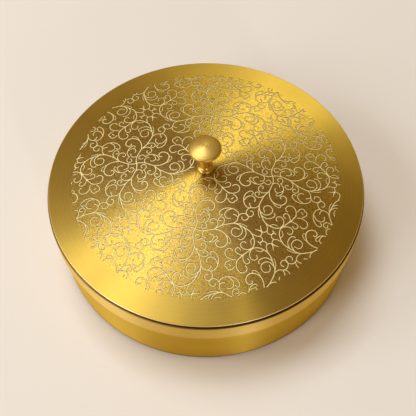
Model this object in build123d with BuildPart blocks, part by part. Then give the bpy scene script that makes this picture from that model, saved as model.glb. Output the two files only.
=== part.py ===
"""Round brass spice box: a spun pan, a domed lid with a turned knob, seven cups and a spoon.

The base stands on the plane z = 0 and the pan's axis is Z. The spoon leans along +X.
"""
from build123d import *
import os
from math import cos, radians, sin, sqrt

os.makedirs("parts", exist_ok=True)

# Sizes of the closed box, in millimetres
lid_radius = 109.5
lid_edge_height = 60.0
crown_rise = 13.2
lid_depth = 17.8
sheet = 1.2
moving_gap = 0.3

# Lid cover: a shallow spherical crown with a flat land for the knob and a turned-down lip
land_radius = 7.4
lip_drop = 1.2
lip_round = 0.6
edge_break = 0.3

# Lid band: a skirt with a shoulder, and a neck that carries the cover
seam_height = 1.5
skirt_overhang = 1.0
neck_setback = 1.7
shoulder_round = 0.6

# Pan, sized to slide inside the lid's skirt
skirt_clearance = 0.7
pan_corner = 3.0
pan_bead = 1.35

# Knob, from the foot up: how high each turned form is, and how far it stands in or out
foot_radius = 6.0
foot_height = 3.0
foot_base_inset = 0.9
foot_top_inset = 1.2
flare_rise = 1.3
flare_radius = 1.8
neck_radius = 3.5
neck_length = 12.3
throat_rise = 2.4
throat_reach = 2.9
cone_rise = 2.0
head_radius = 11.0
rim_under_inset = 1.1
rim_under_rise = 1.3
rim_top_inset = 0.6
rim_top_rise = 1.1
cap_rise = 2.4

# Screw and washer under the lid
screw_radius = 2.0
thread_clearance = 0.05
screw_grip = 9.0
tapped_depth = 11.0
screw_head_radius = 4.2
screw_head_height = 3.0
screw_head_round = 1.6
slot_width = 1.1
slot_depth = 1.3
washer_radius = 6.6
washer_thickness = 1.0
hole_clearance = 0.25

# Cups, sized from the room in the pan
cup_play = 4.2
cup_headroom = 14.3
cup_sheet = 0.9
cup_bead = 1.05
cup_corner = 6.0
cup_spacing_gap = 1.2
ring_cups = 6
first_cup_angle = 30.0

# Spoon, leaning from the floor of the middle cup over its rim
spoon_overhang = 10.0
spoon_back_gap = 3.1
spoon_bowl_radius = 10.0
spoon_bowl_depth = 4.4
spoon_sheet = 0.9
handle_thickness = 1.4
handle_neck_width = 3.4
handle_end_width = 6.4
handle_round = 0.35

# Heights and radii that follow from the sizes above
crown_sphere = (lid_radius**2 + crown_rise**2) / (2 * crown_rise)
lip_bottom = lid_edge_height - lip_drop
lip_inside = lid_radius - sheet
band_top = lip_bottom - seam_height
band_bottom = lid_edge_height - lid_depth
skirt_outside = lid_radius + skirt_overhang
skirt_inside = skirt_outside - sheet
neck_outside = lid_radius - neck_setback
neck_inside = neck_outside - sheet
pan_radius = skirt_inside - skirt_clearance
pan_inside = pan_radius - sheet
pan_rim_top = band_top - sheet - moving_gap
flare_top = foot_height + flare_rise
neck_top = flare_top + neck_length
throat_top = neck_top + throat_rise
rim_under_height = throat_top + cone_rise
rim_height = rim_under_height + rim_under_rise
rim_top_height = rim_height + rim_top_rise
rim_top_radius = head_radius - rim_top_inset
knob_height = rim_top_height + cap_rise


def crown_z(radius, depth=0.0):
    """Height of the lid's crown at a radius, on its top skin or a depth of metal below it."""
    skin = crown_sphere - depth
    return lid_edge_height + sqrt(skin**2 - radius**2) - (crown_sphere - crown_rise)


def crown_arc(start_radius, end_radius, depth=0.0):
    """Arc along the crown between two radii, for a section in the XZ plane."""
    middle = (start_radius + end_radius) / 2
    radii = (start_radius, middle, end_radius)
    return ThreePointArc(*[(radius, crown_z(radius, depth)) for radius in radii])


land_top = crown_z(land_radius)
land_under = crown_z(land_radius, sheet)

# Pan: flat floor, round corner, straight wall, and a rim rolled inwards into a bead
bead_center_radius = pan_radius - pan_bead
bead_center_height = pan_rim_top - pan_bead
bead_root_drop = sqrt(pan_bead**2 - (pan_inside - bead_center_radius)**2)
corner_middle = 1 - cos(radians(45))

with BuildPart() as box_pan:
    with BuildSketch(Plane.XZ):
        with BuildLine():
            under = Line((0, 0), (pan_radius - pan_corner, 0))
            outer_corner = ThreePointArc(
                under @ 1,
                (pan_radius - corner_middle * pan_corner, corner_middle * pan_corner),
                (pan_radius, pan_corner),
            )
            outer_wall = Line(outer_corner @ 1, (pan_radius, bead_center_height))
            rim_bead = ThreePointArc(
                outer_wall @ 1,
                (bead_center_radius - pan_bead, bead_center_height),
                (pan_inside, bead_center_height - bead_root_drop),
            )
            inner_wall = Line(rim_bead @ 1, (pan_inside, pan_corner))
            inner_corner = ThreePointArc(
                inner_wall @ 1,
                (
                    pan_inside - corner_middle * (pan_corner - sheet),
                    sheet + corner_middle * (pan_corner - sheet),
                ),
                (pan_radius - pan_corner, sheet),
            )
            Polyline(inner_corner @ 1, (0, sheet), (0, 0))
        make_face()
    revolve(axis=Axis.Z)
box_pan.part.label = "box_pan"
export_step(box_pan.part, "parts/box_pan.step")

# Lid cover: one domed sheet, its edge turned down as a short lip over the neck of the band
with BuildPart() as lid_cover:
    with BuildSketch(Plane.XZ) as cover_section:
        with BuildLine():
            top_skin = crown_arc(land_radius, lid_radius)
            lip = Polyline(
                top_skin @ 1,
                (lid_radius, lip_bottom),
                (lip_inside, lip_bottom),
                (lip_inside, crown_z(lip_inside, sheet)),
            )
            under_skin = crown_arc(lip_inside, land_radius, sheet)
            Polyline(under_skin @ 1, (0, land_under), (0, land_top), top_skin @ 0)
        make_face()
        fillet(cover_section.vertices().group_by(Axis.X)[-1].sort_by(Axis.Y)[-1], lip_round)
        fillet(cover_section.vertices().group_by(Axis.Y)[0].sort_by(Axis.X)[-1], edge_break)
    revolve(axis=Axis.Z)
    with Locations((0, 0, land_top)):
        Hole(radius=screw_radius + hole_clearance)
lid_cover.part.label = "lid_cover"
export_step(lid_cover.part, "parts/lid_cover.step")

# Lid band: the skirt slides over the pan, and the shoulder rests on the pan's rim
with BuildPart() as lid_band:
    with BuildSketch(Plane.XZ) as band_section:
        with BuildLine():
            seat = crown_arc(neck_outside, neck_inside, sheet)
            Polyline(
                seat @ 1,
                (neck_inside, band_top - sheet),
                (skirt_inside, band_top - sheet),
                (skirt_inside, band_bottom),
                (skirt_outside, band_bottom),
                (skirt_outside, band_top),
                (neck_outside, band_top),
                seat @ 0,
            )
        make_face()
        fillet(band_section.vertices().group_by(Axis.X)[-1].sort_by(Axis.Y)[-1], shoulder_round)
        fillet(band_section.vertices().group_by(Axis.Y)[0], edge_break)
    revolve(axis=Axis.Z)
lid_band.part.label = "lid_band"
export_step(lid_band.part, "parts/lid_band.step")

# Knob: a turned mushroom with a beaded foot, tapped from below
with BuildPart() as lid_knob:
    with BuildSketch(Plane(origin=(0, 0, land_top), x_dir=(1, 0, 0), z_dir=(0, -1, 0))):
        with BuildLine():
            base = Line((0, 0), (foot_radius - foot_base_inset, 0))
            bead = ThreePointArc(
                base @ 1,
                (foot_radius, foot_height / 2),
                (foot_radius - foot_top_inset, foot_height),
            )
            flare = RadiusArc(bead @ 1, (neck_radius, flare_top), flare_radius)
            neck = Line(flare @ 1, (neck_radius, neck_top))
            throat = TangentArc(
                neck @ 1, (neck_radius + throat_reach, throat_top), tangent=neck % 1
            )
            cone = Line(throat @ 1, (head_radius - rim_under_inset, rim_under_height))
            rim = ThreePointArc(
                cone @ 1, (head_radius, rim_height), (rim_top_radius, rim_top_height)
            )
            cap_sphere = (rim_top_radius**2 + (knob_height - rim_top_height)**2) / (
                2 * (knob_height - rim_top_height)
            )
            cap_middle = rim_top_radius / 2
            cap = ThreePointArc(
                rim @ 1,
                (cap_middle, knob_height - cap_sphere + sqrt(cap_sphere**2 - cap_middle**2)),
                (0, knob_height),
            )
            Line(cap @ 1, (0, 0))
        make_face()
    revolve(axis=Axis.Z)
    with Locations(Location((0, 0, land_top), (180, 0, 0))):
        Hole(radius=screw_radius + thread_clearance, depth=tapped_depth)
lid_knob.part.label = "lid_knob"
export_step(lid_knob.part, "parts/lid_knob.step")

# Washer and screw: they clamp the knob through the cover from inside the lid
washer_under = land_under - washer_thickness
with BuildPart() as knob_washer:
    with BuildSketch(Plane.XY.offset(washer_under)):
        Circle(washer_radius)
        Circle(screw_radius + hole_clearance, mode=Mode.SUBTRACT)
    extrude(amount=washer_thickness)
    outer_rim = knob_washer.edges().filter_by(GeomType.CIRCLE).group_by(SortBy.RADIUS)[-1]
    fillet(outer_rim.sort_by(Axis.Z)[0], radius=edge_break)
knob_washer.part.label = "knob_washer"
export_step(knob_washer.part, "parts/knob_washer.step")

screw_length = land_top + screw_grip - washer_under
with BuildPart() as knob_screw:
    with BuildSketch(Plane.XY.offset(washer_under)):
        Circle(screw_radius)
    extrude(amount=screw_length)
    chamfer(knob_screw.edges().sort_by(Axis.Z)[-1], length=edge_break)
    with BuildSketch(Plane.XY.offset(washer_under)):
        Circle(screw_head_radius)
    extrude(amount=-screw_head_height)
    fillet(knob_screw.edges().sort_by(Axis.Z)[0], radius=screw_head_round)
    with BuildSketch(Plane.XY.offset(washer_under - screw_head_height)):
        Rectangle(3 * screw_head_radius, slot_width)
    extrude(amount=slot_depth, mode=Mode.SUBTRACT)
knob_screw.part.label = "knob_screw"
export_step(knob_screw.part, "parts/knob_screw.step")

# Cups: one in the middle and a ring of six around it, each with its rim rolled outwards
cup_base = sheet + moving_gap
cup_height = pan_rim_top - cup_base - cup_headroom
cup_rim_radius = (pan_radius - 2 * pan_bead - cup_play - cup_spacing_gap) / 3
cup_inside = cup_rim_radius - 2 * cup_bead
cup_outside = cup_inside + cup_sheet
cup_bead_radius = cup_rim_radius - cup_bead
cup_bead_height = cup_height - cup_bead
cup_bead_root = sqrt(cup_bead**2 - (cup_bead_radius - cup_outside)**2)
ring_radius = 2 * cup_rim_radius + cup_spacing_gap


def spun_cup(place, name):
    """A round-bottomed cup with a beaded rim, standing at a place on the pan's floor."""
    inner_corner_radius = cup_corner - cup_sheet
    with BuildPart() as cup:
        with BuildSketch(Plane(origin=place, x_dir=(1, 0, 0), z_dir=(0, -1, 0))):
            with BuildLine():
                foot = Line((0, 0), (cup_outside - cup_corner, 0))
                outer_bend = ThreePointArc(
                    foot @ 1,
                    (cup_outside - corner_middle * cup_corner, corner_middle * cup_corner),
                    (cup_outside, cup_corner),
                )
                side = Line(outer_bend @ 1, (cup_outside, cup_bead_height - cup_bead_root))
                rolled_rim = ThreePointArc(
                    side @ 1, (cup_rim_radius, cup_bead_height), (cup_inside, cup_bead_height)
                )
                inner_side = Line(rolled_rim @ 1, (cup_inside, cup_corner))
                inner_bend = ThreePointArc(
                    inner_side @ 1,
                    (
                        cup_inside - corner_middle * inner_corner_radius,
                        cup_sheet + corner_middle * inner_corner_radius,
                    ),
                    (cup_inside - inner_corner_radius, cup_sheet),
                )
                Polyline(inner_bend @ 1, (0, cup_sheet), (0, 0))
            make_face()
        revolve(axis=Axis(place, (0, 0, 1)))
    cup.part.label = name
    return cup.part


middle_place = (0, 0, cup_base)
export_step(spun_cup(middle_place, "spice_cup_middle"), "parts/spice_cup_middle.step")
for number in range(ring_cups):
    angle = radians(first_cup_angle + number * 360 / ring_cups)
    cup_place = (ring_radius * cos(angle), ring_radius * sin(angle), cup_base)
    cup_name = f"spice_cup_{number + 1}"
    export_step(spun_cup(cup_place, cup_name), f"parts/{cup_name}.step")

# Spoon: a dished round bowl on the cup's floor, its flat handle leaning over the rim
dish_sphere = (spoon_bowl_radius**2 + spoon_bowl_depth**2) / (2 * spoon_bowl_depth)
dish_center = dish_sphere - spoon_bowl_depth
dish_middle = spoon_bowl_radius / 2
outer_dish_radius = sqrt((dish_sphere + spoon_sheet)**2 - dish_center**2)
rim_bead_center = Vector(cup_bead_radius, 0, cup_base + cup_bead_height)


def bowl_place(tilt):
    """Centre of the bowl's brim at a tilt, its back on the cup's floor and clear of the wall."""
    lowest_point = dish_sphere + spoon_sheet - dish_center * cos(tilt)
    back = cup_inside - spoon_back_gap - outer_dish_radius * cos(tilt)
    return Vector(-back, 0, cup_base + cup_sheet + moving_gap + lowest_point)


def rim_clearance(tilt):
    """How far the handle's underside stands above its rest on the rim's bead, at a tilt."""
    to_bead = rim_bead_center - bowl_place(tilt)
    over_handle = to_bead.Z * cos(tilt) - to_bead.X * sin(tilt)
    return -over_handle - handle_thickness - cup_bead - moving_gap


low_tilt, high_tilt = radians(5), radians(80)
for halving in range(40):
    tilt = (low_tilt + high_tilt) / 2
    if rim_clearance(tilt) < 0:
        low_tilt = tilt
    else:
        high_tilt = tilt
handle_direction = Vector(cos(tilt), 0, sin(tilt))
bowl_axis = Vector(-sin(tilt), 0, cos(tilt))
bowl_center = bowl_place(tilt)
spoon_reach = (cup_rim_radius + spoon_overhang - bowl_center.X) / cos(tilt)

with BuildPart() as spice_spoon:
    with BuildSketch(Plane(origin=bowl_center, x_dir=handle_direction, z_dir=(0, -1, 0))):
        with BuildLine():
            dish = ThreePointArc(
                (0, -spoon_bowl_depth),
                (dish_middle, dish_center - sqrt(dish_sphere**2 - dish_middle**2)),
                (spoon_bowl_radius, 0),
            )
            brim = Line(dish @ 1, (outer_dish_radius, 0))
            back = ThreePointArc(
                brim @ 1,
                (
                    dish_middle,
                    dish_center - sqrt((dish_sphere + spoon_sheet)**2 - dish_middle**2),
                ),
                (0, -spoon_bowl_depth - spoon_sheet),
            )
            Line(back @ 1, dish @ 0)
        make_face()
    revolve(axis=Axis(bowl_center, bowl_axis))
    handle_plane = Plane(origin=bowl_center, x_dir=handle_direction, z_dir=bowl_axis)
    with BuildSketch(handle_plane.offset(-handle_thickness)):
        with BuildLine():
            root = spoon_bowl_radius + spoon_sheet / 3
            tip = spoon_reach - handle_end_width / 2
            lower = Line((root, -handle_neck_width / 2), (tip, -handle_end_width / 2))
            end = ThreePointArc(
                lower @ 1, (spoon_reach, 0), (tip, handle_end_width / 2)
            )
            Polyline(end @ 1, (root, handle_neck_width / 2), lower @ 0)
        make_face()
    extrude(amount=handle_thickness)
    handle_edges = spice_spoon.edges().filter_by(GeomType.LINE).sort_by(SortBy.LENGTH)[-4:]
    fillet(handle_edges, radius=handle_round)
spice_spoon.part.label = "spice_spoon"
export_step(spice_spoon.part, "parts/spice_spoon.step")
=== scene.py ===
# %% [markdown]
# # A brass spice box
# The box is spun from sheet brass: a straight-walled pan, and a domed lid with a turned knob.
# Inside a plain margin the lid is cut with scrolling vines. The frame brings in the box as it was
# drawn in CAD, in metres. This lesson gives each piece its surface, cuts the scrolls, and sets up
# the camera and the light.

# %% Load the frame
import bpy
from math import atan2, cos, degrees, dist, pi, radians, sin, sqrt, tau
import numpy as np
from mathutils import Matrix, Vector, geometry, kdtree


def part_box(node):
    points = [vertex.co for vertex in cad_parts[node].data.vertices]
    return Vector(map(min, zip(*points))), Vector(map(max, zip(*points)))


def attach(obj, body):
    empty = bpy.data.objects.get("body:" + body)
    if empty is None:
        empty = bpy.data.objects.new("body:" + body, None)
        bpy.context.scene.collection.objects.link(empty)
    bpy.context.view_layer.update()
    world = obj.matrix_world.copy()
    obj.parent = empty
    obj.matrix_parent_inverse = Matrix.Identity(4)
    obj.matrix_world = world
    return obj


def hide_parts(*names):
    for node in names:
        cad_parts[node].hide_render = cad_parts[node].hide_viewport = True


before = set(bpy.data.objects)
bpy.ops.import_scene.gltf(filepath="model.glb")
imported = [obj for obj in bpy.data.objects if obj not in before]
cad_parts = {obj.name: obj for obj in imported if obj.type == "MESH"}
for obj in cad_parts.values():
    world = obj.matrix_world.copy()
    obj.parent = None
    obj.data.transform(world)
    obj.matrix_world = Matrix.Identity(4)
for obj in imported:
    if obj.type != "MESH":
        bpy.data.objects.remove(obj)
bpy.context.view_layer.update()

# %% [markdown]
# ## The camera
# The photograph looks down on the lid from the front. A camera can be placed by eye, or solved
# from curves whose true shape is known. Here the rim and the skirt's lower edge are true circles,
# so the camera was solved from them. A place and four turns are enough to say how it is held.

# %% Camera
def place_object(name, data):
    """Make an object of this data and put it in the scene."""
    thing = bpy.data.objects.new(name, data)
    bpy.context.scene.collection.objects.link(thing)
    return thing


camera_place = (0.0, -0.2680, 0.4567)
look_down = radians(55.951)
swing, nod, roll = 0.00261, -0.04244, -0.0210
camera_data = bpy.data.cameras.new("camera")
camera_data.sensor_width = 36.0
camera_data.lens = 59.26
camera_data.clip_start = 0.01
camera = place_object("camera", camera_data)
turn = (Matrix.Rotation(pi / 2 - look_down, 4, "X") @ Matrix.Rotation(-swing, 4, "Y")
        @ Matrix.Rotation(nod, 4, "X") @ Matrix.Rotation(roll, 4, "Z"))
camera.matrix_world = Matrix.Translation(camera_place) @ turn
bpy.context.scene.camera = camera
print("camera looks down", round(degrees(look_down), 1), "degrees")

# %% [markdown]
# ## Floor and light
# The box stands on a warm, pale sheet. Polished metal shows whatever is around it, so the light is
# part of its look. One broad soft lamp stands over the left and the far side. It puts the knob's
# shadow on the near right of the lid, and it makes the bright wedges that cross a round-brushed
# lid. A lamp from the left carries the near wedge out over the plain margin. A large one from the
# near left lights the wall, and a narrow strip in front draws an upright highlight on it. The
# world fills in the rest.

# %% Nodes and a plain material
def feed(tree, socket, source):
    """Link a socket to another node's output, or set it to a plain value."""
    if isinstance(source, bpy.types.NodeSocket):
        tree.links.new(source, socket)
    else:
        socket.default_value = source


def node_of(tree, kind, place=(0, 0), inputs=None, **settings):
    """Add a node, set its properties, then feed the inputs that are named or numbered."""
    node = tree.nodes.new(kind)
    node.location = place
    for name, value in settings.items():
        setattr(node, name, value)
    for socket, source in (inputs or {}).items():
        feed(tree, node.inputs[socket], source)
    return node


def plain_material(name, color, roughness):
    """A material of one even colour."""
    material = bpy.data.materials.new(name)
    material.use_nodes = True
    shader = material.node_tree.nodes["Principled BSDF"]
    shader.inputs["Base Color"].default_value = (*color, 1.0)
    shader.inputs["Roughness"].default_value = roughness
    return material


# %% Floor
half_floor = 6.0
paper_color = (0.945, 0.828, 0.492)
floor_corners = ((-1, -1), (1, -1), (1, 1), (-1, 1))
floor_mesh = bpy.data.meshes.new("floor")
floor_mesh.from_pydata(
    [(x * half_floor, y * half_floor, 0.0) for x, y in floor_corners], [], [(0, 1, 2, 3)])
floor_mesh.materials.append(plain_material("warm_paper", paper_color, 0.95))
floor = place_object("floor", floor_mesh)

# %% Lamps
lamp_color = (0.90, 1.02, 1.70)
lit_point = (0, 0, 0.06)


def soft_lamp(name, place, size, watts):
    """A soft box that faces the middle of the lid."""
    lamp_data = bpy.data.lights.new(name, "AREA")
    lamp_data.shape = "RECTANGLE"
    lamp_data.size, lamp_data.size_y = size
    lamp_data.energy = watts
    lamp_data.color = lamp_color
    facing = (Vector(lit_point) - Vector(place)).to_track_quat("-Z", "Y")
    lamp = place_object(name, lamp_data)
    lamp.matrix_world = Matrix.Translation(place) @ facing.to_matrix().to_4x4()


soft_lamp("over_lamp", (-0.46, 0.46, 2.00), (0.95, 0.95), 20.0)
soft_lamp("wall_lamp", (-2.40, -1.80, 1.80), (1.2, 2.0), 35.0)
soft_lamp("left_lamp", (-2.10, -0.12, 1.75), (0.8, 0.8), 12.0)
soft_lamp("front_strip", (1.00, -2.70, 0.90), (0.22, 0.80), 11.0)

world_color = (1.0, 0.69, 0.30)
world_strength = 0.27
world = bpy.data.worlds.new("studio")
world.use_nodes = True
world.node_tree.nodes["Background"].inputs["Color"].default_value = (*world_color, 1.0)
world.node_tree.nodes["Background"].inputs["Strength"].default_value = world_strength
bpy.context.scene.world = world
bpy.context.scene.view_settings.view_transform = "Standard"

# %% [markdown]
# ## Brass that was turned on a lathe
# A spun or turned piece carries fine scratches that run round its axis. They spread a highlight
# across themselves and not along themselves, and on the lid this makes two bright wedges that meet
# at the knob. Modelling each scratch would take millions of faces. The shader's anisotropy does it
# with one direction at each point: across the scratches, along the surface. That is the cross
# product of the way round the axis and the surface's normal.

# %% Places and brush marks on a turned piece
def turned_places(tree, center):
    """Each point's place, its place from the axis at center, its radius and its height."""
    place = node_of(tree, "ShaderNodeTexCoord", (-1500, 0)).outputs["Object"]
    centered = node_of(tree, "ShaderNodeMapping", (-1300, 0),
                       {"Location": (-center[0], -center[1], 0.0), "Vector": place})
    centered = centered.outputs["Vector"]
    flat = node_of(tree, "ShaderNodeVectorMath", (-1100, 200),
                   {0: centered, 1: (1.0, 1.0, 0.0)}, operation="MULTIPLY")
    radius = node_of(tree, "ShaderNodeVectorMath", (-900, 200),
                     {0: flat.outputs["Vector"]}, operation="LENGTH")
    split = node_of(tree, "ShaderNodeSeparateXYZ", (-1100, 50), {"Vector": centered})
    return place, centered, radius.outputs["Value"], split.outputs["Z"]


def brushed_way(tree, centered, crosswise):
    """The tangent for marks that run round the axis, or for marks that cross them."""
    normal = node_of(tree, "ShaderNodeNewGeometry", (-1300, -300)).outputs["Normal"]
    around = node_of(tree, "ShaderNodeVectorMath", (-1100, -200),
                     {0: (0.0, 0.0, 1.0), 1: centered}, operation="CROSS_PRODUCT")
    across = node_of(tree, "ShaderNodeVectorMath", (-900, -250),
                     {0: around.outputs["Vector"], 1: normal}, operation="CROSS_PRODUCT")
    way = (around if crosswise else across).outputs["Vector"]
    unit = node_of(tree, "ShaderNodeVectorMath", (-700, -250), {0: way}, operation="NORMALIZE")
    return unit.outputs["Vector"]


# %% [markdown]
# ## Wear, finish and painted shade
# A finish is more than a colour. The tool leaves rings, handling leaves soft clouds of tone, and
# the cut field is rubbed down, which leaves a fine grain. Painted shade darkens the seam under the
# lid's edge, the top of the band, the pan's foot and the knob's foot. A painted picture could hold
# all of this, but it would be tied to one piece. Here each is a noise, or a ramp over radius or
# height.

# %% Ramps, mixes and relief
def ramp(tree, value, reads, gives, place):
    """Turn a value that runs over reads into one that runs over gives."""
    node = node_of(tree, "ShaderNodeMapRange", place, {
        "Value": value, "From Min": reads[0], "From Max": reads[1],
        "To Min": gives[0], "To Max": gives[1]})
    return node.outputs["Result"]


def mix(tree, kind, share, low, high, place):
    """Low where share is 0 and high where it is 1, for colours or for plain numbers."""
    first, second, result = (6, 7, 2) if kind == "RGBA" else (2, 3, 0)
    node = node_of(tree, "ShaderNodeMix", place, {0: share, first: low, second: high},
                   data_type=kind)
    return node.outputs[result]


def relief(tree, height, depth, strength, place, below=None):
    """A bump whose depth is in millimetres, laid over another bump's normal if there is one."""
    node = node_of(tree, "ShaderNodeBump", place, {
        "Strength": strength, "Distance": depth * 0.001, "Height": height})
    if below:
        feed(tree, node.inputs["Normal"], below)
    return node.outputs["Normal"]


def shaded(color, factor):
    """A colour made lighter or darker, as a socket takes it."""
    return (*[min(1.0, channel * factor) for channel in color], 1.0)


# %% Grain of the cut field
grain_edge = 0.0931
grain_scale = 1150.0
pit_contrast, ring_contrast = 3.0, 0.35


def contrast(tree, value, factor, place):
    """Spread a noise value about its middle, or squeeze it."""
    node = node_of(tree, "ShaderNodeMath", place, {0: value, 1: factor, 2: (1.0 - factor) / 2},
                   operation="MULTIPLY_ADD")
    return node.outputs["Value"]


def grained(tree, place, radius, rings):
    """Pits inside the cut field: their height, and how they break up the tone of the rings."""
    pits = node_of(tree, "ShaderNodeTexNoise", (-500, -400),
                   {"Scale": grain_scale, "Detail": 2.0, "Vector": place}).outputs["Fac"]
    fade = (grain_edge + 0.0015, grain_edge - 0.0005)
    inside = ramp(tree, radius, fade, (0.0, 1.0), (-500, -650))
    height = node_of(tree, "ShaderNodeMath", (-250, -400), {0: pits, 1: inside},
                     operation="MULTIPLY")
    strong = contrast(tree, pits, pit_contrast, (-500, 850))
    faint = contrast(tree, rings, ring_contrast, (-500, 1000))
    return height.outputs["Value"], mix(tree, "FLOAT", inside, faint, strong, (-380, 700))


# %% Brass
# Dark brown painted shade, for the cuts' walls, the seam under the lid's edge, the band's top and
# the feet
painted_shade_color = (0.17, 0.062, 0.006)
specular_tint = (1.0, 0.84, 0.5, 1.0)
coat_roughness = 0.42
polished_roughness = 0.34
polish_fade = 0.0005
noise_range = (0.3, 0.7)
cloud_scale = 45.0
roughness_spread = 0.10
tone_spread = 0.12


def brass(name, color, roughness, anisotropy, center=(0.0, 0.0), ring_size=0.0012, ring_depth=0.02,
          grain=0.0, streaks=0.10, metal=1.0, coat=0.05, crosswise=False, polished_below=None,
          painted_shade_heights=None):
    """Brass brushed round an upright axis. Depths are in millimetres, other lengths in metres.

    The painted-shade heights are where the colour is fully darkened and where the darkening ends.
    """
    material = bpy.data.materials.new(name)
    material.use_nodes = True
    tree = material.node_tree
    place, centered, radius, height = turned_places(tree, center)
    along = node_of(tree, "ShaderNodeMath", (-700, 150), {0: radius, 1: height}, operation="ADD")
    rings = node_of(tree, "ShaderNodeTexNoise", (-500, 150),
                    {"Scale": 1.0 / ring_size, "Detail": 4.0, "W": along.outputs["Value"]},
                    noise_dimensions="1D").outputs["Fac"]
    clouds = node_of(tree, "ShaderNodeTexNoise", (-500, 400),
                     {"Scale": cloud_scale, "Detail": 5.0, "Vector": place}).outputs["Fac"]
    normal = relief(tree, rings, ring_depth, 0.5, (-250, -150))
    marks = rings
    if grain:
        pits, marks = grained(tree, place, radius, rings)
        normal = relief(tree, pits, grain, 1.0, (-50, -300), below=normal)

    tone = mix(tree, "RGBA", clouds, shaded(color, 1 - tone_spread), shaded(color, 1 + tone_spread),
               (-250, 400))
    streak = ramp(tree, marks, noise_range, (1.0 - streaks, 1.0 + streaks), (-250, 650))
    streaked = node_of(tree, "ShaderNodeVectorMath", (0, 500), {0: tone, "Scale": streak},
                       operation="SCALE")
    base = streaked.outputs["Vector"]
    # Painted shade: the colour darkens towards the first of two heights, where shade falls.
    if painted_shade_heights:
        unshaded = ramp(tree, height, painted_shade_heights, (0.0, 1.0), (0, 750))
        base = mix(tree, "RGBA", unshaded, (*painted_shade_color, 1.0), base, (200, 500))

    smoothest, roughest = roughness - roughness_spread / 2, roughness + roughness_spread / 2
    rough = ramp(tree, rings, noise_range, (smoothest, roughest), (-250, 150))
    if polished_below:
        fade = (polished_below - polish_fade, polished_below + polish_fade)
        above = ramp(tree, height, fade, (0.0, 1.0), (-500, 0))
        rough = mix(tree, "FLOAT", above, polished_roughness, rough, (-100, 100))

    shader = tree.nodes["Principled BSDF"]
    for socket, source in (
            ("Base Color", base), ("Roughness", rough), ("Normal", normal), ("Metallic", metal),
            ("Tangent", brushed_way(tree, centered, crosswise)), ("Anisotropic", anisotropy),
            ("Specular Tint", specular_tint), ("Coat Weight", coat),
            ("Coat Roughness", coat_roughness)):
        feed(tree, shader.inputs[socket], source)
    return material


# %% [markdown]
# ## Seven finishes
# The floor of each cut is matt and pale, and its marks lie the other way, so it stays light where
# the lid around it is dark. The cuts' walls are painted dark brown, as painted shade. The rounded
# edge of the lid is smoother, which gives it a real highlight, and paler, which paints more of one.
# The knob's neck and foot are polished, and its cap is brushed. Of the large pieces the band is the
# palest.

# %% Finishes
lid_brass = brass("lid_brass", (0.665, 0.415, 0.036), roughness=0.49, anisotropy=0.97, coat=0.26,
                  ring_size=0.0005, ring_depth=0.006, grain=0.03, streaks=0.22)
cut_brass = brass("cut_brass", (0.94, 0.74, 0.22), roughness=0.55, anisotropy=0.6, coat=0.0,
                  ring_depth=0.0, metal=0.2, crosswise=True)
# Painted shade: a dark, matt finish for the cuts' walls and the seam under the lid's edge.
painted_shade_brass = brass("painted_shade_brass", painted_shade_color, roughness=0.90, anisotropy=0.0, coat=0.0,
                   ring_depth=0.0, metal=0.2)
# Smoother than the lid, for a real highlight along its edge, and paler, which paints more of it.
rim_highlight_brass = brass("rim_highlight_brass", (0.90, 0.68, 0.24), roughness=0.36, anisotropy=0.0, ring_depth=0.0)
# The band darkens towards its top, painted shade under the lid's edge.
band_brass = brass("band_brass", (0.80, 0.56, 0.13), roughness=0.44, anisotropy=0.92, streaks=0.12,
                   painted_shade_heights=(0.0574, 0.0566))
# The pan darkens at its foot, painted shade where it meets the floor.
wall_brass = brass("wall_brass", (0.64, 0.41, 0.045), roughness=0.44, anisotropy=0.92, streaks=0.12,
                   painted_shade_heights=(0.0015, 0.005))
# The knob darkens round its foot, painted shade where it meets the lid.
knob_brass = brass("knob_brass", (0.74, 0.46, 0.06), roughness=0.46, anisotropy=0.40, coat=0.45,
                   ring_size=0.0007, streaks=0.18, polished_below=0.0925, painted_shade_heights=(0.0728, 0.0754))
print("finishes", [m.name for m in (lid_brass, cut_brass, painted_shade_brass, rim_highlight_brass, band_brass,
                                    wall_brass, knob_brass)])

# %% [markdown]
# ## The scrollwork
# The lid's pattern is a wallpaper. Vines meet at crossings, each with four equal arms, and every
# other crossing is a mirror image. So one arm is enough: it is drawn here as pen strokes, in
# millimetres from its crossing. A stroke is the width of the cut, how it ends, and a row of
# points. It ends in a round ball, in a fine point, or runs into another stroke.

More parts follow.
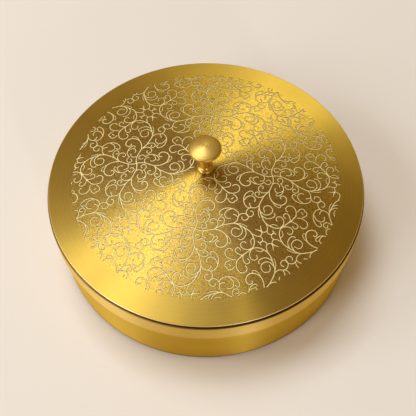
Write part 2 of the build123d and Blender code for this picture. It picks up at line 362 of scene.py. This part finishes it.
# %% Strokes of one arm
stem, vine, fine = 1.04, 0.90, 0.76
arm_strokes = [
    (stem, "run", [(0, 0), (1.5, .5), (3.5, .8), (5.5, .7), (7.5, .2), (10, -.5), (12.5, -1.4),
                   (14.5, -2.8), (16.5, -4.2), (19, -5.3), (22, -6.4), (24.5, -7), (27, -6.7),
                   (29.5, -5.8), (31.5, -5), (33.5, -4.1), (35.3, -3), (37, -1.3), (38.3, 1),
                   (39.1, 3.5), (39.2, 6), (38.3, 8.5)]),
    (vine, "run", [(25, 18.6), (23, 19.8), (22, 21.4), (22.3, 23), (23.4, 23.5)]),
    (fine, "ball", [(24.4, 20.9), (25.2, 21.8)]),
    (vine, "run", [(28, -6.5), (30.2, -4), (30.8, -2), (30, .3), (28.5, 1.7), (26.5, 2.1),
                   (24.4, 1), (23.6, -1), (24.5, -3.2), (26.3, -3.9), (28, -3.4), (29, -3.1)]),
    (vine, "ball", [(31.2, -5.2), (32.6, -3.4), (33.3, -1), (32.8, 1.3), (31.5, 3.2), (30, 3.9),
                    (28.9, 3.6), (28.6, 3)]),
    (fine, "run", [(26, -7), (28, -7.2), (30, -7.1), (32.4, -6.4), (33.7, -5.6)]),
    (vine, "ball", [(37, -1.3), (40.3, -.14), (42.4, -.3), (44, .7), (44.2, 2.5), (43.1, 4.1),
                    (41.7, 3.9), (41.5, 3)]),
    (vine, "run", [(42.4, -.3), (43.3, -1.8), (43.5, -3.4)]),
    (stem, "point", [(43.5, -3.3), (41.7, -4.35), (38.75, -4.8)]),
    (vine, "ball", [(38, 8.5), (36.5, 9.6), (34, 10.1), (32, 9.5), (30.7, 8.2), (30.6, 6.7),
                    (31.3, 5.4), (32.6, 4.9), (33.6, 5.3), (34, 6)]),
    (vine, "ball", [(33.8, 13.6), (32, 14.2), (30, 13.8), (28.3, 13), (27.4, 11.6), (27.9, 10.2),
                    (29, 9.5), (30.2, 10), (31, 11.3)]),
    (vine, "ball", [(28.5, 17.6), (26, 17.9), (24, 17.4), (22.3, 16.4), (21.2, 14.5), (21.4, 12.5),
                    (22.7, 11), (24.2, 10.7), (25.6, 11.4), (26.1, 12.3)]),
    (fine, "point", [(38.3, 1.2), (37, 3), (37, 5), (38, 7)]),
    (vine, "ball", [(13.3, -2.4), (14.2, -3.8), (14.4, -5.3), (14, -7), (12.9, -8.3), (11.6, -8.7),
                    (10.2, -8.4), (9.2, -7.4), (9.1, -6.3), (9.9, -5.5), (10.8, -5.6),
                    (11.4, -6.3)]),
    (vine, "ball", [(16.5, -4.2), (17.6, -5.6), (18.3, -7.4), (18.2, -9), (17.3, -10.2),
                    (16, -10.6), (14.8, -10), (14.3, -8.9), (14.7, -7.9), (15.6, -7.6),
                    (16.5, -8.2)]),
    (fine, "ball", [(17.9, -2.3), (18.1, -2.1)]),
    (stem, "ball", [(12.5, -1.3), (14, -1.1), (16.5, -.6), (19, .6), (20.7, 2.2), (21.6, 4.3),
                    (21.9, 6.5), (21.4, 8.4), (20, 10), (18, 10.8), (16, 10.5), (14.7, 9.3),
                    (14.5, 7.9), (15.2, 6.8), (16.2, 6.5), (17, 7.2)]),
    (fine, "point", [(20.5, 1.8), (22.3, 3), (23.6, 4.8), (23.9, 6.4), (23.3, 7.3), (22.5, 7.2),
                     (22, 6.8)]),
    (vine, "ball", [(6, .8), (5.4, 2), (5.2, 3.3), (5.7, 4.6), (6.8, 5.3), (8.2, 5.4)]),
    (vine, "ball", [(5.2, 5.9), (6.2, 7), (8, 8), (10, 8.2), (12.3, 7.7), (14.2, 6.3), (15.2, 4.8),
                    (14.9, 3.8), (14, 3.3)]),
    (fine, "point", [(10, 8.2), (11.7, 6.9), (12.5, 5.3), (13, 4.3), (13.8, 3.7)]),
    (vine, "ball", [(13, 4.4), (12.4, 3.5), (11.3, 2.6), (10, 2.4), (9.2, 2.9)]),
    (vine, "ball", [(5.2, 5.9), (4, 7), (2.5, 7.4), (1.2, 6.6), (.7, 5.4), (1.3, 4.1), (2.5, 3.7),
                    (3.5, 4.3), (3.6, 5)]),
    (vine, "ball", [(24.3, -7), (25.5, -8), (26.6, -9.5), (26.9, -11.3), (27, -12.5), (27.8, -13.8),
                    (29, -14.7), (31, -15.1), (33, -14.3), (33.7, -12.6), (33, -11), (31.4, -10.2),
                    (30, -10.6), (29.4, -11.7), (29.7, -12.6)]),
    (vine, "ball", [(26.8, -12), (25.5, -13), (23.5, -13.6)]),
    (vine, "ball", [(27.2, -13.5), (26.8, -15), (25.3, -16.5), (22.8, -17.5), (20, -17.7),
                    (17, -16.8), (14.8, -14.8), (14.3, -13), (15, -11.9), (16, -11.8),
                    (17, -12.9)]),
    (vine, "ball", [(22, -17.3), (21, -16.8), (19.2, -15.6), (18.1, -13.5), (18.2, -11.8),
                    (19.5, -10.3), (21, -10), (22.3, -10.4)]),
]
shared_strokes = [
    (stem, "run", [(38.3, 8.5), (36.5, 10.6), (34.5, 12.6), (32.3, 14.8), (30, 16.6),
                   (27.5, 18.1)]),
]
print("strokes in one arm", len(arm_strokes), "and shared with its mirror", len(shared_strokes))

# %% [markdown]
# ## Repeating the arm over the lid
# Repeating is what Geometry Nodes are for. The strokes are loose curves. The tree smooths them,
# puts four round a point to make a crossing, and puts crossings on two grids, one of them
# mirrored. The strokes that lie on a mirror line join only the first grid, so none is cut twice.
# Each point keeps half the width of its cut as an attribute.

# %% Curves from the strokes
ball_half = 0.5
point_share = 0.45


def stroke_curves(name, strokes):
    """Strokes as poly splines in a curve object, with the half width of the cut at each point."""
    curves = bpy.data.curves.new(name, "CURVE")
    curves.dimensions = "3D"
    for width, ending, points in strokes:
        halves = [width / 2] * len(points)
        if ending == "ball":
            halves[-1] = max(ball_half, width / 2)
        if ending == "point":
            halves[-1] *= point_share
        spline = curves.splines.new("POLY")
        spline.points.add(len(points) - 1)
        for spot, (x, y), half in zip(spline.points, points, halves):
            spot.co = (x, y, 0.0, 1.0)
            spot.radius = half
    return place_object(name, curves)


# %% Inputs of the repeating tree
scroll_sizes = {"Half cell": 47.0, "Field radius": 93.0, "Clear middle": 7.6, "Step": 0.5,
                "Turn": radians(-8.1)}
scroll_shift = (-1.0, 0.6, 0.0)


def scroll_sockets(tree):
    """The tree's output and its named inputs, and the two nodes that stand for them."""
    sockets = tree.interface
    sockets.new_socket("Geometry", in_out="OUTPUT", socket_type="NodeSocketGeometry")
    sockets.new_socket("Strokes", in_out="INPUT", socket_type="NodeSocketGeometry")
    for title, value in scroll_sizes.items():
        size = sockets.new_socket(title, in_out="INPUT", socket_type="NodeSocketFloat")
        size.default_value = value
    for title, kind in (("Shift", "Vector"), ("Mirrored grid", "Bool"), ("Material", "Material")):
        sockets.new_socket(title, in_out="INPUT", socket_type="NodeSocket" + kind)
    return node_of(tree, "NodeGroupInput", (-1800, 0)), node_of(tree, "NodeGroupOutput", (1800, 0))


# %% From strokes to one crossing
def even_lines(tree, given):
    """Smooth the strokes and cut them into even steps that carry their half width."""
    smooth = node_of(tree, "GeometryNodeCurveSplineType", (-1600, 100),
                     {"Curve": given.outputs["Strokes"]}, spline_type="CATMULL_ROM")
    fine_steps = node_of(tree, "GeometryNodeSetSplineResolution", (-1400, 100),
                         {"Geometry": smooth.outputs["Curve"], "Resolution": 8})
    width = node_of(tree, "GeometryNodeInputRadius", (-1400, -100))
    keep_width = node_of(tree, "GeometryNodeStoreNamedAttribute", (-1200, 100),
                         {"Geometry": fine_steps.outputs["Geometry"], "Name": "half_width",
                          "Value": width.outputs["Radius"]}, data_type="FLOAT", domain="POINT")
    even = node_of(tree, "GeometryNodeResampleCurve", (-1000, 100),
                   {"Curve": keep_width.outputs["Geometry"], "Length": given.outputs["Step"]},
                   mode="LENGTH")
    line = node_of(tree, "GeometryNodeCurveToMesh", (-800, 100), {"Curve": even.outputs["Curve"]})
    return line.outputs["Mesh"]


def crossing_of(tree, arm):
    """Four copies of the arm, each a quarter turn from the last."""
    four = node_of(tree, "GeometryNodePoints", (-800, -200), {"Count": 4})
    number = node_of(tree, "GeometryNodeInputIndex", (-1000, -350))
    quarter = node_of(tree, "ShaderNodeMath", (-800, -400), {0: number.outputs["Index"], 1: pi / 2},
                      operation="MULTIPLY")
    spin = node_of(tree, "ShaderNodeCombineXYZ", (-600, -400), {"Z": quarter.outputs["Value"]})
    crossing = node_of(tree, "GeometryNodeInstanceOnPoints", (-400, 100), {
        "Points": four.outputs["Points"], "Instance": arm, "Rotation": spin.outputs["Vector"]})
    return crossing.outputs["Instances"]


# %% Crossings on a grid, trimmed to the field
def grid_of(tree, given, crossing, columns, rows, scale, level):
    """Crossings on a grid whose points stand two half cells apart."""
    grid = node_of(tree, "GeometryNodeMeshGrid", (-100, level),
                   {"Vertices X": columns, "Vertices Y": rows})
    for axis, count in (("Size X", columns), ("Size Y", rows)):
        span = node_of(tree, "ShaderNodeMath", (-300, level),
                       {0: given.outputs["Half cell"], 1: 2.0 * (count - 1)}, operation="MULTIPLY")
        feed(tree, grid.inputs[axis], span.outputs["Value"])
    placed = node_of(tree, "GeometryNodeInstanceOnPoints", (200, level), {
        "Points": grid.outputs["Mesh"], "Instance": crossing, "Scale": scale})
    return placed.outputs["Instances"]


def trimmed_to_field(tree, given, lines):
    """Take away the lines beyond the field's radius, and those in its clear middle."""
    where = node_of(tree, "GeometryNodeInputPosition", (800, -300))
    reach = node_of(tree, "ShaderNodeVectorMath", (1000, -300), {0: where.outputs["Position"]},
                    operation="LENGTH")
    for column, limit, test in ((1200, "Field radius", "GREATER_THAN"),
                                (1400, "Clear middle", "LESS_THAN")):
        beyond = node_of(tree, "ShaderNodeMath", (column, -300),
                         {0: reach.outputs["Value"], 1: given.outputs[limit]}, operation=test)
        trim = node_of(tree, "GeometryNodeDeleteGeometry", (column, 100),
                       {"Geometry": lines, "Selection": beyond.outputs["Value"]}, domain="POINT")
        lines = trim.outputs["Geometry"]
    return lines


# %% The repeating tree
def scroll_tree():
    """Geometry Nodes: strokes in, the whole field's centre lines out."""
    tree = bpy.data.node_groups.new("scroll_repeat", "GeometryNodeTree")
    given, out = scroll_sockets(tree)
    crossing = crossing_of(tree, even_lines(tree, given))
    plain = grid_of(tree, given, crossing, 4, 3, (1, 1, 1), 300)
    mirrored = grid_of(tree, given, crossing, 3, 4, (1, -1, 1), -100)
    chosen = node_of(tree, "GeometryNodeSwitch", (400, -200), {
        "Switch": given.outputs["Mirrored grid"], "True": mirrored}, input_type="GEOMETRY")
    both = node_of(tree, "GeometryNodeJoinGeometry", (600, 100), {"Geometry": plain})
    feed(tree, both.inputs["Geometry"], chosen.outputs["Output"])
    way = node_of(tree, "ShaderNodeCombineXYZ", (600, -100), {"Z": given.outputs["Turn"]})
    turned = node_of(tree, "GeometryNodeTransform", (800, 100), {
        "Geometry": both.outputs["Geometry"], "Rotation": way.outputs["Vector"],
        "Translation": given.outputs["Shift"]})
    real = node_of(tree, "GeometryNodeRealizeInstances", (1000, 100),
                   {"Geometry": turned.outputs["Geometry"]})
    lines = trimmed_to_field(tree, given, real.outputs["Geometry"])
    dressed = node_of(tree, "GeometryNodeSetMaterial", (1600, 100),
                      {"Geometry": lines, "Material": given.outputs["Material"]})
    feed(tree, out.inputs["Geometry"], dressed.outputs["Geometry"])
    return tree


# %% Centre lines of every cut
def run_tree(thing, tree, values):
    """Put a node tree on an object, set its inputs by their identifiers, and keep the result."""
    modifier = thing.modifiers.new(tree.name, "NODES")
    modifier.node_group = tree
    for item in tree.interface.items_tree:
        if item.item_type == "SOCKET" and item.in_out == "INPUT" and item.name in values:
            modifier[item.identifier] = values[item.name]
    settled = thing.evaluated_get(bpy.context.evaluated_depsgraph_get())
    result = bpy.data.meshes.new_from_object(settled)
    thing.modifiers.remove(modifier)
    return result


pattern = scroll_tree()
values = {**scroll_sizes, "Shift": scroll_shift, "Material": cut_brass}
centre_lines = []
for name, strokes, mirrored in (("arm", arm_strokes, True), ("shared", shared_strokes, False)):
    drawing = stroke_curves(name, strokes)
    lines = run_tree(drawing, pattern, {**values, "Mirrored grid": mirrored})
    bpy.data.objects.remove(drawing)
    centre_lines.append(lines)
    print(name, "points", len(lines.vertices), "steps", len(lines.edges))

# %% [markdown]
# ## Cutting the lines into the cover
# On the real lid each line is a shallow groove with sloping walls and a flat floor. A bump map
# could fake the slopes, but it would go blurry close up and it isn't in the model's shape.
# Sweeping a cutter along nearly nine metres of line and subtracting it would be slow and fragile.
# Here the cover's top is triangulated so that both edges of each cut, and both edges of its floor,
# are edges of the mesh. Then the floor is pushed down.

# %% Centre lines as runs of points
def ordered_runs(lines):
    """The centre lines as runs, each with its points and its half widths, in order along it."""
    count = len(lines.vertices)
    places = np.empty(count * 3)
    lines.vertices.foreach_get("co", places)
    places = places.reshape(-1, 3)[:, :2]
    widths = np.empty(count)
    lines.attributes["half_width"].data.foreach_get("value", widths)
    neighbours = [[] for _ in range(count)]
    for edge in lines.edges:
        a, b = edge.vertices
        neighbours[a].append(b)
        neighbours[b].append(a)
    seen = [False] * count
    runs = []
    for start in range(count):
        if seen[start] or len(neighbours[start]) != 1:
            continue
        run, here = [start], start
        seen[start] = True
        while True:
            onward = [n for n in neighbours[here] if not seen[n]]
            if not onward:
                break
            here = onward[0]
            seen[here] = True
            run.append(here)
        runs.append((places[run], widths[run]))
    return runs


runs = [run for lines in centre_lines for run in ordered_runs(lines) if len(run[0]) > 1]
length = sum(float(np.linalg.norm(np.diff(p, axis=0), axis=1).sum()) for p, _ in runs)
print("runs", len(runs), "length of cut in metres", round(length / 1000, 2))

# %% Cover sizes, in millimetres
lid_radius = 109.5
edge_height = 60.0
crown_rise = 13.2
sheet = 1.2
land_radius = 7.4
hole_radius = 2.25
lip_bottom = 58.8
lip_round = 0.6
lip_foot = 0.3
cut_depth = 0.22
wall_share = 0.38
field_edge = 95.0
segments = 288
land_segments = 96
crown_sphere = (lid_radius ** 2 + crown_rise ** 2) / (2 * crown_rise)


def crown_height(radius, depth=0.0):
    """Height of the crown, on its skin or a depth below it."""
    skin = crown_sphere - depth
    return edge_height + sqrt(skin ** 2 - radius ** 2) - (crown_sphere - crown_rise)


cover_low, cover_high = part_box("lid_cover")
print("cover box", [round(v * 1000, 2) for v in (*cover_low, *cover_high)])


# %% Outline of one cut
def ring_points(radius, count, offset=0.0):
    """Points evenly round a circle."""
    return [(radius * cos(tau * (i + offset) / count), radius * sin(tau * (i + offset) / count))
            for i in range(count)]


def cut_outline(points, halves):
    """Left edge and right edge of one cut, and a round cap for each end."""
    along = np.gradient(points, axis=0)
    along /= np.linalg.norm(along, axis=1)[:, None]
    side = np.column_stack((-along[:, 1], along[:, 0])) * halves[:, None]
    caps = []
    for end, way in ((0, -1), (-1, 1)):
        base = atan2(side[end][1], side[end][0])
        turns = [base - way * a for a in (pi / 4, pi / 2, 3 * pi / 4)]
        caps.append([tuple(points[end] + halves[end] * np.array((cos(t), sin(t)))) for t in turns])
    return points + side, points - side, caps


# %% The cover's top, triangulated round the cuts
filler_gap = 5
merge_distance = 1e-4
flat_points, flat_edges = [], []


def add_chain(chain, closed=False):
    """Add points joined by edges that the triangles have to keep."""
    first = len(flat_points)
    flat_points.extend(Vector((float(x), float(y))) for x, y in chain)
    flat_edges.extend((first + i, first + i + 1) for i in range(len(chain) - 1))
    if closed:
        flat_edges.append((len(flat_points) - 1, first))


add_chain(ring_points(field_edge, segments), closed=True)
add_chain(ring_points(land_radius, land_segments), closed=True)
add_chain(ring_points(hole_radius, segments), closed=True)
for points, halves in runs:
    left, right, caps = cut_outline(points, halves)
    for side in (1, -1):
        add_chain(points + side * (1 - wall_share) * (left - points))
    loop = list(left) + list(caps[1]) + list(right[::-1]) + list(caps[0][::-1])
    add_chain(loop, closed=True)
for ring in range(12, 93, filler_gap):
    around = max(12, int(tau * ring / filler_gap))
    flat_points += [Vector(spot) for spot in ring_points(ring, around, offset=0.37 * ring)]
top_points, _, top_faces, *_ = geometry.delaunay_2d_cdt(
    flat_points, flat_edges, [], 0, merge_distance)
print("points", len(top_points), "triangles", len(top_faces))

# %% [markdown]
# ## Depth of each point
# A point's depth follows from how far it lies inside a cut: none at the edge, all of it on the
# floor, and a slope between them. A search tree finds the nearest points of the middle lines.
# Between two of them the distance is taken to the line itself, so the edges of a cut lie exactly
# on the crown.

# %% Depths
line = np.vstack([np.column_stack((points, halves)) for points, halves in runs])
ends = np.cumsum([len(points) for points, _ in runs])
after, before = np.arange(len(line)) + 1, np.arange(len(line)) - 1
after[ends - 1] -= 1
before[np.concatenate(([0], ends[:-1]))] += 1
search = kdtree.KDTree(len(line))
for index, (x, y, _) in enumerate(line):
    search.insert((x, y, 0.0), index)
search.balance()


def cut_shares(spots, tries=4):
    """How deep the cover is cut at each place, from 0 on the crown to 1 on the floor of a cut."""
    near = np.array([[found[1] for found in search.find_n((x, y, 0.0), tries)] for x, y in spots])
    inward = np.zeros(len(spots))  # 0 at the edge of a cut, 1 on its middle line
    for column in near.T:
        start = line[column]
        for other in (line[after[column]], line[before[column]]):
            step = other - start
            size = np.maximum((step[:, :2] ** 2).sum(axis=1), 1e-12)
            share = ((spots - start[:, :2]) * step[:, :2]).sum(axis=1) / size
            closest = start + np.clip(share, 0.0, 1.0)[:, None] * step
            gap = np.linalg.norm(spots - closest[:, :2], axis=1)
            inward = np.maximum(inward, 1.0 - gap / closest[:, 2])
    return np.where(inward > wall_share / 2, np.minimum(1.0, inward / wall_share), 0.0)


shares = cut_shares(np.array([(p.x, p.y) for p in top_points])).tolist()
print("points below the crown", sum(share > 0 for share in shares))

# %% [markdown]
# ## Closing the cover
# The rest of the cover is turned: the margin outside the pattern, the rounded edge, the short lip,
# and the underside back to the screw hole. A lathe cuts such a shape along one section, and so
# does this. Rings of points follow the section, and the first and last rings are the rims of the
# cut top, so the cover is one closed shell. Its normals are those of the true sphere, and straight
# up on the land under the knob, so that the long triangles between cuts still look polished.

# %% Section of the turned part
margin_radii = (98.0, 101.0, 104.0, 107.0)
under_radii = (100.0, 80.0, 60.0, 40.0, 20.0)


def arc_points(center, radius, start, end, steps):
    """Points along an arc, from one angle to another."""
    return [(center[0] + radius * cos(start + (end - start) * i / steps),
             center[1] + radius * sin(start + (end - start) * i / steps)) for i in range(steps + 1)]


crown_slope = lid_radius / sqrt(crown_sphere ** 2 - lid_radius ** 2)
bend_start = pi / 2 - atan2(crown_slope, 1.0)
bend_radius = lid_radius - lip_round
inner_radius = lid_radius - sheet
under_land = crown_height(land_radius, sheet)
section = [(r, crown_height(r)) for r in margin_radii]
section += arc_points((bend_radius, crown_height(bend_radius, lip_round)), lip_round,
                      bend_start, 0.0, 8)
lid_corner = section[-1][1]
section += [(lid_radius, lip_bottom + lip_foot)]
section += arc_points((lid_radius - lip_foot, lip_bottom + lip_foot), lip_foot,
                      0.0, -pi / 2, 4)[1:]
section += [(inner_radius, lip_bottom), (inner_radius, crown_height(inner_radius, sheet))]
section += [(r, crown_height(r, sheet)) for r in under_radii]
section += [(land_radius, under_land), (hole_radius, under_land)]
print("section points", len(section), "from", section[0], "to", section[-1])

# %% Rings, faces and normals of a turned piece
smooth_bend = 0.86  # cosine of the sharpest bend that is shaded as a curve


def add_rings(points, section, lift=0.0):
    """Add a ring of points for each place on a section, and return the points' numbers by ring."""
    rings = []
    for radius, height in section:
        spots = ring_points(radius, segments) if radius > 1e-6 else [(0.0, 0.0)]
        rings.append(list(range(len(points), len(points) + len(spots))))
        points += [(x, y, height + lift) for x, y in spots]
    return rings


def section_normals(section, before, after):
    """The outward normal at both ends of each step of a section, smooth except at sharp corners."""
    chain = [before] + section + [after]
    steps = [Vector((z0 - z1, r1 - r0)).normalized()
             for (r0, z0), (r1, z1) in zip(chain, chain[1:])]
    pairs = []
    for last, step, following in zip(steps, steps[1:], steps[2:]):
        pairs.append([(step + other).normalized() if step.dot(other) > smooth_bend else step
                      for other in (last, following)])
    return pairs


def turned_rows(rings, pairs):
    """Faces between rings of points that run round the axis, and a normal for each corner."""
    faces, normals = [], []
    for inner, outer, (start, end) in zip(rings, rings[1:], pairs):
        for i in range(segments):
            j = (i + 1) % segments
            corners = [(inner, i, start), (outer, i, end), (outer, j, end), (inner, j, start)]
            if len(inner) == 1:
                corners.pop(3)
            elif len(outer) == 1:
                corners.pop(2)
            faces.append(tuple(ring[k % len(ring)] for ring, k, _ in corners))
            normals += [Vector((n.x * cos(tau * k / segments), n.x * sin(tau * k / segments), n.y))
                        for _, k, n in corners]
    return faces, normals


# %% Faces of the cut top
# The third finish is painted shade, for the cuts' walls and the seam.
cover_finishes = (lid_brass, cut_brass, painted_shade_brass, rim_highlight_brass)
skin, cut_floor, painted_shade, rim = range(4)


def crown_normal(x, y, flat):
    """The way the crown faces at a place. Its land faces straight up."""
    if flat:
        return Vector((0.0, 0.0, 1.0))
    height = sqrt(crown_sphere ** 2 - x * x - y * y)
    return Vector((x, y, height)) / crown_sphere


shell_points = [(point.x, point.y, crown_height(max(point.length, land_radius)) - cut_depth * share)
                for point, share in zip(top_points, shares)]
shell_faces, shell_normals, shell_finish = [], [], []
for face in top_faces:
    corners = [top_points[i] for i in face]
    middle = sum(corners, Vector((0.0, 0.0))) / 3
    if middle.length < hole_radius * 0.9999:
        continue
    shell_faces.append(tuple(face))
    if max(shares[i] for i in face) > 0:
        # A cut's floor faces take the pale finish, and its walls take the dark one, painted shade.
        on_floor = min(shares[i] for i in face) > 0.99
        shell_finish.append(cut_floor if on_floor else painted_shade)
        a, b, c = (Vector(shell_points[i]) for i in face)
        shell_normals += [(b - a).cross(c - a).normalized()] * 3
    else:
        shell_finish.append(skin)
        shell_normals += [crown_normal(p.x, p.y, middle.length < land_radius) for p in corners]
print("faces of the top", len(shell_faces), "in cuts", len(shell_finish) - shell_finish.count(skin))

# %% The turned part joined to the top
just_inside = 92.0
slack = 0.01


def ring_of(radius):
    """The top's points on a rim, in order round it."""
    near = [i for i, p in enumerate(top_points) if abs(p.length - radius) < 1e-3]
    return sorted(near, key=lambda i: atan2(top_points[i].y, top_points[i].x) % tau)


land_height = crown_height(land_radius)
rings = [ring_of(field_edge), *add_rings(shell_points, section), ring_of(hole_radius)]
whole_section = [(field_edge, crown_height(field_edge)), *section, (hole_radius, land_height)]
row_faces, row_normals = turned_rows(rings, section_normals(
    whole_section, (just_inside, crown_height(just_inside)), (land_radius, land_height)))
shell_faces += row_faces
shell_normals += row_normals
# The seam under the lid's edge takes the dark finish, painted shade. The rounded edge takes the
# paler rim finish, which paints a highlight as well as making one.
for start, end in zip(whole_section, whole_section[1:]):
    in_seam = start[0] > inner_radius - slack and end[1] < lid_corner
    on_rim = start[0] > bend_radius - slack and end[1] >= lid_corner
    shell_finish += [painted_shade if in_seam else rim if on_rim else skin] * segments
print("points on the rims", len(rings[0]), len(rings[-1]))

# %% The engraved cover
def piece_of(name, points, faces, normals, finishes, finish_numbers=None):
    """An object from points in millimetres, with its finishes and a normal for each corner."""
    mesh = bpy.data.meshes.new(name)
    mesh.from_pydata([Vector(p) / 1000 for p in points], [], faces)
    for finish in finishes:
        mesh.materials.append(finish)
    if finish_numbers:
        mesh.polygons.foreach_set("material_index", finish_numbers)
    mesh.shade_smooth()
    mesh.normals_split_custom_set(normals)
    print(name, "triangles", sum(len(face) - 2 for face in faces))
    return place_object(name, mesh)


cover = piece_of("engraved_cover", shell_points, shell_faces, shell_normals, cover_finishes,
                 shell_finish)
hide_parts("lid_cover")
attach(cover, "lid")

# %% [markdown]
# ## The knob
# The knob is turned from bar: a beaded foot, a slim neck, and a cap with a small rounded rim. Its
# CAD mesh has flat facets, which show in a polished neck. A Spin of a profile would make it too,
# but the helper that closed the cover already turns a section, with exact normals at every ring.

# %% Section of the knob
# Start and end as radius and height above the land, how far the middle stands off, and steps.
knob_bows = [
    ((0.0, 25.8), (10.4, 23.4), 0.608, 24),  # top of the cap
    ((10.4, 23.4), (9.9, 21.0), 0.84, 12),  # its rounded rim
    ((6.4, 19.0), (3.5, 16.6), -0.885, 12),  # throat under the cap
    ((3.5, 4.3), (4.8, 3.0), -0.252, 8),  # flare below the neck
    ((4.8, 3.0), (5.1, 0.0), 1.048, 16),  # bead of the foot
]
knob_bore = [(2.05, 0.0), (2.05, 11.0), (0.0, 11.0)]


def bow_points(start, end, bulge, steps):
    """An arc from start to end. A positive bulge stands off the straight line to its left."""
    (r0, z0), (r1, z1) = start, end
    run = sqrt((r1 - r0) ** 2 + (z1 - z0) ** 2)
    radius = (run * run / 4 + bulge * bulge) / (2 * bulge)
    side = ((z0 - z1) / run, (r1 - r0) / run)
    shift = bulge - radius
    center = ((r0 + r1) / 2 + side[0] * shift, (z0 + z1) / 2 + side[1] * shift)
    first = atan2(z0 - center[1], r0 - center[0])
    turn_by = (atan2(z1 - center[1], r1 - center[0]) - first + pi) % tau - pi
    return [(center[0] + abs(radius) * cos(first + turn_by * i / steps),
             center[1] + abs(radius) * sin(first + turn_by * i / steps)) for i in range(steps + 1)]


knob_section = []
for bow in knob_bows:
    joined = knob_section and dist(knob_section[-1], bow[0]) < 1e-6
    knob_section += bow_points(*bow)[1 if joined else 0:]
knob_section += knob_bore
knob_low, knob_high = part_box("lid_knob")
print("knob section points", len(knob_section),
      "height", round((knob_high[2] - knob_low[2]) * 1000, 2))

# %% The turned knob
knob_points = []
knob_rings = add_rings(knob_points, knob_section, lift=knob_low[2] * 1000)
(r0, z0), (r1, z1) = knob_section[1], knob_section[-2]
knob_faces, knob_normals = turned_rows(
    knob_rings, section_normals(knob_section, (-r0, z0), (-r1, z1)))
knob = piece_of("turned_knob", knob_points, knob_faces, knob_normals, [knob_brass])
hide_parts("lid_knob")
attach(knob, "lid")

# %% [markdown]
# ## The other pieces
# The CAD shapes of the band, pan, cups, spoon and fasteners are right as they are. They could be
# modelled again, but nothing would be gained, so each keeps its mesh and takes a finish. Each cup
# is brushed round its own axis.

# %% Finishes on the CAD pieces
def dress(node, material):
    """Give a CAD piece one finish in place of its own."""
    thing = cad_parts[node]
    thing.data.materials.clear()
    thing.data.materials.append(material)


dress("lid_band", band_brass)
dress("box_pan", wall_brass)
dress("knob_washer", knob_brass)
dress("knob_screw", knob_brass)
cup_color = (0.80, 0.57, 0.18)
cups = [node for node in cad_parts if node.startswith("spice_cup")]
for node in cups:
    low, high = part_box(node)
    middle = ((low[0] + high[0]) / 2, (low[1] + high[1]) / 2)
    dress(node, brass("brass_of_" + node, cup_color, roughness=0.32, anisotropy=0.6, center=middle))
dress("spice_spoon", brass("spoon_brass", cup_color, roughness=0.30, anisotropy=0.0))
print("cups dressed", len(cups))
